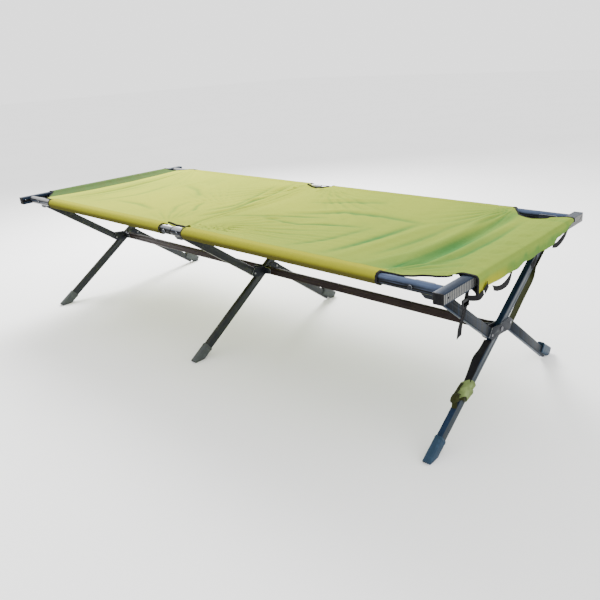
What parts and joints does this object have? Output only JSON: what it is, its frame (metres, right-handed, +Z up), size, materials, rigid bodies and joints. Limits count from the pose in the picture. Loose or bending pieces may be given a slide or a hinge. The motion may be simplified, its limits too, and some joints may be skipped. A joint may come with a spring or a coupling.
{
  "type": "camping cot",
  "caption": "Folding camping cot with crossed tube legs, hinged side rails, slotted end bars and a taut olive cloth bed.",
  "frame": {"origin": "on the floor, under the middle of the bed", "axes": "+X along the bed towards the end with the straps, +Y towards the far rail, +Z up"},
  "size_m": [1.9108, 0.72, 0.445],
  "materials": {
    "anodised": "satin black anodised aluminium",
    "bar_alloy": "grey anodised, finely ribbed",
    "bracket_steel": "dark pressed steel",
    "rivet_steel": "plain domed heads",
    "boot_rubber": "matte black, ribbed sole",
    "cap_plastic": "black, ribbed",
    "olive_cloth": "taut coated olive cloth",
    "olive_webbing": "woven olive webbing",
    "black_webbing": "woven black webbing"
  },
  "bodies": {
    "hub_middle": {"joint_pin_middle": "rivet_steel", "clevis_middle_left": "bracket_steel", "clevis_middle_right": "bracket_steel"},
    "leg_a_middle": {"leg_a_middle": "anodised", "boot_near_middle": "boot_rubber"},
    "leg_b_middle": {"leg_b_upper_middle": "anodised", "leg_b_lower_middle": "anodised", "joint_bracket_middle": "bracket_steel", "boot_far_middle": "boot_rubber"},
    "centre_near": {"centre_bracket_near": "bracket_steel", "bed_middle": "olive_cloth"},
    "centre_far": {"centre_bracket_far": "bracket_steel"},
    "brace_left": {"brace_left": "anodised"},
    "hub_left": {"joint_pin_left": "rivet_steel", "clevis_end_left": "bracket_steel"},
    "leg_a_left": {"leg_a_left": "anodised", "boot_near_left": "boot_rubber"},
    "leg_b_left": {"leg_b_upper_left": "anodised", "leg_b_lower_left": "anodised", "joint_bracket_left": "bracket_steel", "boot_far_left": "boot_rubber"},
    "rail_near_left": {"rail_near_left": "anodised", "rail_plug_near_left": "cap_plastic", "sleeve_near_left": "olive_cloth", "bed_left": "olive_cloth"},
    "saddle_near_left": {"saddle_near_left": "bracket_steel"},
    "rail_far_left": {"rail_far_left": "anodised", "rail_plug_far_left": "cap_plastic", "sleeve_far_left": "olive_cloth"},
    "saddle_far_left": {"saddle_far_left": "bracket_steel"},
    "bar_left": {"end_bar_left": "bar_alloy", "bar_cap_near_left": "cap_plastic", "bar_cap_far_left": "cap_plastic", "pocket_left": "olive_cloth"},
    "brace_right": {"brace_right": "anodised"},
    "hub_right": {"joint_pin_right": "rivet_steel", "clevis_end_right": "bracket_steel"},
    "leg_a_right": {"leg_a_right": "anodised", "boot_near_right": "boot_rubber", "strap_band": "olive_webbing", "strap_wrap": "olive_webbing"},
    "leg_b_right": {"leg_b_upper_right": "anodised", "leg_b_lower_right": "anodised", "joint_bracket_right": "bracket_steel", "boot_far_right": "boot_rubber"},
    "rail_near_right": {"rail_near_right": "anodised", "rail_plug_near_right": "cap_plastic", "sleeve_near_right": "olive_cloth", "bed_right": "olive_cloth"},
    "saddle_near_right": {"saddle_near_right": "bracket_steel"},
    "rail_far_right": {"rail_far_right": "anodised", "rail_plug_far_right": "cap_plastic", "sleeve_far_right": "olive_cloth"},
    "saddle_far_right": {"saddle_far_right": "bracket_steel"},
    "bar_right": {"end_bar_right": "bar_alloy", "bar_cap_near_right": "cap_plastic", "bar_cap_far_right": "cap_plastic", "pocket_right": "olive_cloth", "webbing_strap": "black_webbing", "webbing_buckle": "cap_plastic"}
  },
  "joints": [
    {"name": "spread", "type": "hinge", "parent": "hub_middle", "child": "leg_a_middle", "pos_m": [0, 0, 0.2145], "axis": [1, 0, 0], "range_deg": [0, 51], "deforming": ["bed_left", "bed_middle", "bed_right", "pocket_left", "pocket_right"]},
    {"name": "leg_b_middle_turn", "type": "hinge", "parent": "hub_middle", "child": "leg_b_middle", "pos_m": [0, 0, 0.2145], "axis": [1, 0, 0], "range_deg": [-51, 0]},
    {"name": "centre_near_level", "type": "hinge", "parent": "leg_b_middle", "child": "centre_near", "pos_m": [0, -0.28868, 0.40801], "axis": [1, 0, 0], "range_deg": [0, 51]},
    {"name": "centre_far_level", "type": "hinge", "parent": "leg_a_middle", "child": "centre_far", "pos_m": [0, 0.28868, 0.40801], "axis": [1, 0, 0], "range_deg": [-51, 0]},
    {"name": "fold_left", "type": "hinge", "parent": "hub_middle", "child": "brace_left", "pos_m": [-0.032, 0, 0.2145], "axis": [0, 1, 0], "range_deg": [0, 85]},
    {"name": "hub_left_level", "type": "hinge", "parent": "brace_left", "child": "hub_left", "pos_m": [-0.853, 0, 0.2145], "axis": [0, 1, 0], "range_deg": [-85, 0]},
    {"name": "rail_near_left_turn", "type": "hinge", "parent": "centre_near", "child": "rail_near_left", "pos_m": [-0.032, -0.32, 0.429], "axis": [0, 1, 0], "range_deg": [0, 85]},
    {"name": "rail_far_left_turn", "type": "hinge", "parent": "centre_far", "child": "rail_far_left", "pos_m": [-0.032, 0.32, 0.429], "axis": [0, 1, 0], "range_deg": [0, 85]},
    {"name": "leg_a_left_turn", "type": "hinge", "parent": "hub_left", "child": "leg_a_left", "pos_m": [-0.885, 0, 0.2145], "axis": [1, 0, 0], "range_deg": [0, 51]},
    {"name": "leg_b_left_turn", "type": "hinge", "parent": "hub_left", "child": "leg_b_left", "pos_m": [-0.885, 0, 0.2145], "axis": [1, 0, 0], "range_deg": [-51, 0]},
    {"name": "saddle_far_left_level", "type": "hinge", "parent": "leg_a_left", "child": "saddle_far_left", "pos_m": [-0.885, 0.28868, 0.40801], "axis": [1, 0, 0], "range_deg": [-51, 0]},
    {"name": "saddle_near_left_level", "type": "hinge", "parent": "leg_b_left", "child": "saddle_near_left", "pos_m": [-0.885, -0.28868, 0.40801], "axis": [1, 0, 0], "range_deg": [0, 51]},
    {"name": "unhook_left", "type": "slide", "parent": "rail_near_left", "child": "bar_left", "axis": [-1, 0, 0], "range_m": [0, 0.018]},
    {"name": "fold_right", "type": "hinge", "parent": "hub_middle", "child": "brace_right", "pos_m": [0.032, 0, 0.2145], "axis": [0, -1, 0], "range_deg": [0, 85]},
    {"name": "hub_right_level", "type": "hinge", "parent": "brace_right", "child": "hub_right", "pos_m": [0.853, 0, 0.2145], "axis": [0, -1, 0], "range_deg": [-85, 0]},
    {"name": "rail_near_right_turn", "type": "hinge", "parent": "centre_near", "child": "rail_near_right", "pos_m": [0.032, -0.32, 0.429], "axis": [0, -1, 0], "range_deg": [0, 85]},
    {"name": "rail_far_right_turn", "type": "hinge", "parent": "centre_far", "child": "rail_far_right", "pos_m": [0.032, 0.32, 0.429], "axis": [0, -1, 0], "range_deg": [0, 85]},
    {"name": "leg_a_right_turn", "type": "hinge", "parent": "hub_right", "child": "leg_a_right", "pos_m": [0.885, 0, 0.2145], "axis": [1, 0, 0], "range_deg": [0, 51]},
    {"name": "leg_b_right_turn", "type": "hinge", "parent": "hub_right", "child": "leg_b_right", "pos_m": [0.885, 0, 0.2145], "axis": [1, 0, 0], "range_deg": [-51, 0]},
    {"name": "saddle_far_right_level", "type": "hinge", "parent": "leg_a_right", "child": "saddle_far_right", "pos_m": [0.885, 0.28868, 0.40801], "axis": [1, 0, 0], "range_deg": [-51, 0]},
    {"name": "saddle_near_right_level", "type": "hinge", "parent": "leg_b_right", "child": "saddle_near_right", "pos_m": [0.885, -0.28868, 0.40801], "axis": [1, 0, 0], "range_deg": [0, 51]},
    {"name": "unhook_right", "type": "slide", "parent": "rail_near_right", "child": "bar_right", "axis": [1, 0, 0], "range_m": [0, 0.018]}
  ],
  "couplings": [
    {"joint": "leg_b_middle_turn", "follows": "spread", "ratio": -1},
    {"joint": "centre_near_level", "follows": "spread", "ratio": 1},
    {"joint": "centre_far_level", "follows": "spread", "ratio": -1},
    {"joint": "hub_left_level", "follows": "fold_left", "ratio": -1},
    {"joint": "rail_near_left_turn", "follows": "fold_left", "ratio": 1},
    {"joint": "rail_far_left_turn", "follows": "fold_left", "ratio": 1},
    {"joint": "leg_a_left_turn", "follows": "spread", "ratio": 1},
    {"joint": "leg_b_left_turn", "follows": "spread", "ratio": -1},
    {"joint": "saddle_far_left_level", "follows": "spread", "ratio": -1},
    {"joint": "saddle_near_left_level", "follows": "spread", "ratio": 1},
    {"joint": "hub_right_level", "follows": "fold_right", "ratio": -1},
    {"joint": "rail_near_right_turn", "follows": "fold_right", "ratio": 1},
    {"joint": "rail_far_right_turn", "follows": "fold_right", "ratio": 1},
    {"joint": "leg_a_right_turn", "follows": "spread", "ratio": 1},
    {"joint": "leg_b_right_turn", "follows": "spread", "ratio": -1},
    {"joint": "saddle_far_right_level", "follows": "spread", "ratio": -1},
    {"joint": "saddle_near_right_level", "follows": "spread", "ratio": 1}
  ]
}
